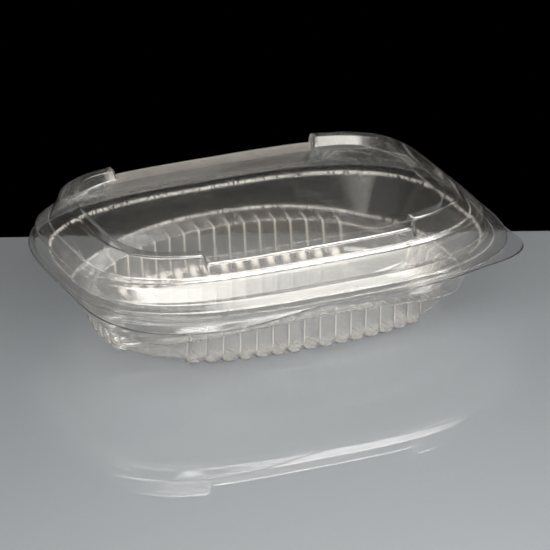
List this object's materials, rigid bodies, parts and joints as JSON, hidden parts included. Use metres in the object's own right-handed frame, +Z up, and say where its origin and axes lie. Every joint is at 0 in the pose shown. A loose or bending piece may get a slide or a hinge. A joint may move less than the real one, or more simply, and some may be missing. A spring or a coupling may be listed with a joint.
{
  "type": "clear hinged food container",
  "caption": "Empty clear oval food container for takeaway meals: fluted tray with an arched ledge, and a domed lid hinged along its back edge, with raised end ridges.",
  "frame": {"origin": "on the table, at the middle of the tray's flat underside", "axes": "+X along the container's length, -Y towards the opening side with the pull tabs, +Y towards the hinge, +Z up"},
  "size_m": [0.192, 0.1574, 0.0534],
  "materials": {
    "tray_sheet": "clear glossy formed plastic sheet",
    "lid_sheet": "clear glossy formed plastic sheet"
  },
  "bodies": {
    "tray": {"tray": "tray_sheet"},
    "lid": {"lid": "lid_sheet"}
  },
  "joints": [
    {"name": "lid_hinge", "type": "hinge", "parent": "tray", "child": "lid", "pos_m": [0, 0.075, 0.03235], "axis": [-1, 0, 0], "range_deg": [0, 180]}
  ]
}
